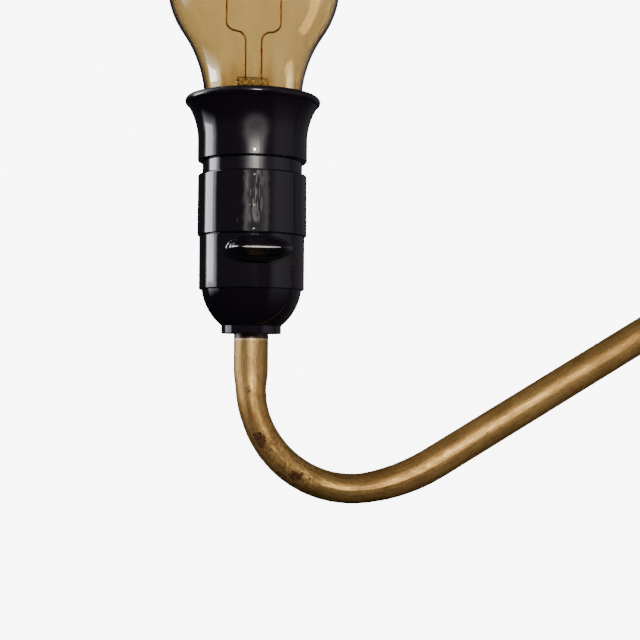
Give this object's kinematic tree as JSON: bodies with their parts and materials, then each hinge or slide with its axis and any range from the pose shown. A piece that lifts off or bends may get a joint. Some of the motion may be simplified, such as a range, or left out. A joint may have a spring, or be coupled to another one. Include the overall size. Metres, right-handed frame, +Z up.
{
  "type": "swing-arm wall lamp",
  "caption": "Wall lamp with a bent brass tube arm that swings in two eyes on a wall plate, and an upright black lampholder with turn switch and clear screw-in bulb.",
  "frame": {"origin": "centre of the wall plate's back face, which lies on the wall", "axes": "+Y into the wall, +Z up; the arm points straight out along -Y at rest, and the switch key points along +X"},
  "size_m": [0.06, 0.43, 0.211],
  "materials": {
    "aged_brass": "satin, aged",
    "bright_brass": "plain",
    "black_bakelite": "polished moulding",
    "steel": "turned",
    "nylon": "natural",
    "fibre": "pressed fibre",
    "steatite": "unglazed",
    "brown_rubber": "matt",
    "blue_rubber": "matt",
    "clear_glass": "blown, clear",
    "black_glass": "pressed",
    "tungsten": "drawn",
    "tin": "soldered"
  },
  "bodies": {
    "bracket": {"wall_plate": "aged_brass", "upper_lug": "aged_brass", "lower_lug": "aged_brass", "lug_screws": "steel", "lug_bushes": "nylon", "thrust_washer": "nylon"},
    "arm": {"stop_collar": "aged_brass", "collar_screw": "aged_brass", "arm_tube": "aged_brass", "end_ferrule": "aged_brass", "inlet_bush": "black_bakelite", "live_wire": "brown_rubber", "neutral_wire": "blue_rubber", "fibre_washer": "fibre", "threaded_nipple": "steel", "lock_nut": "steel", "holder_cap": "black_bakelite", "grub_screw": "steel", "holder_sleeve": "black_bakelite", "shade_ring": "black_bakelite", "ceramic_base": "steatite", "terminal_blocks": "bright_brass", "terminal_screws": "steel", "live_spring": "bright_brass", "centre_contact": "bright_brass", "side_contact": "bright_brass", "screw_shell": "bright_brass", "shell_rivets": "bright_brass"},
    "switch": {"switch_shaft": "steel", "switch_drum": "steatite", "drum_bridge": "bright_brass", "switch_key": "black_bakelite"},
    "bulb_seat": {"bulb_eyelet": "tin"},
    "bulb": {"cap_insulator": "black_glass", "bulb_cap": "bright_brass", "bulb_glass": "clear_glass", "bulb_stem": "clear_glass", "filament_leads": "tungsten", "filament": "tungsten"}
  },
  "joints": [
    {"name": "arm_swing", "type": "hinge", "parent": "bracket", "child": "arm", "pos_m": [0, -0.038, 0], "axis": [0, 0, 1], "range_deg": [-90, 90]},
    {"name": "switch_turn", "type": "hinge", "parent": "arm", "child": "switch", "pos_m": [0.01, -0.4, 0.01785], "axis": [1, 0, 0], "continuous": true},
    {"name": "bulb_rise", "type": "slide", "parent": "arm", "child": "bulb_seat", "axis": [0, 0, 1], "range_m": [0, 0.0218]},
    {"name": "bulb_turn", "type": "hinge", "parent": "bulb_seat", "child": "bulb", "pos_m": [0, -0.4, 0.04965], "axis": [0, 0, 1], "range_deg": [0, 2160]}
  ],
  "couplings": [
    {"joint": "bulb_rise", "follows": "bulb_turn", "m_per_rad": 0.00057757}
  ]
}
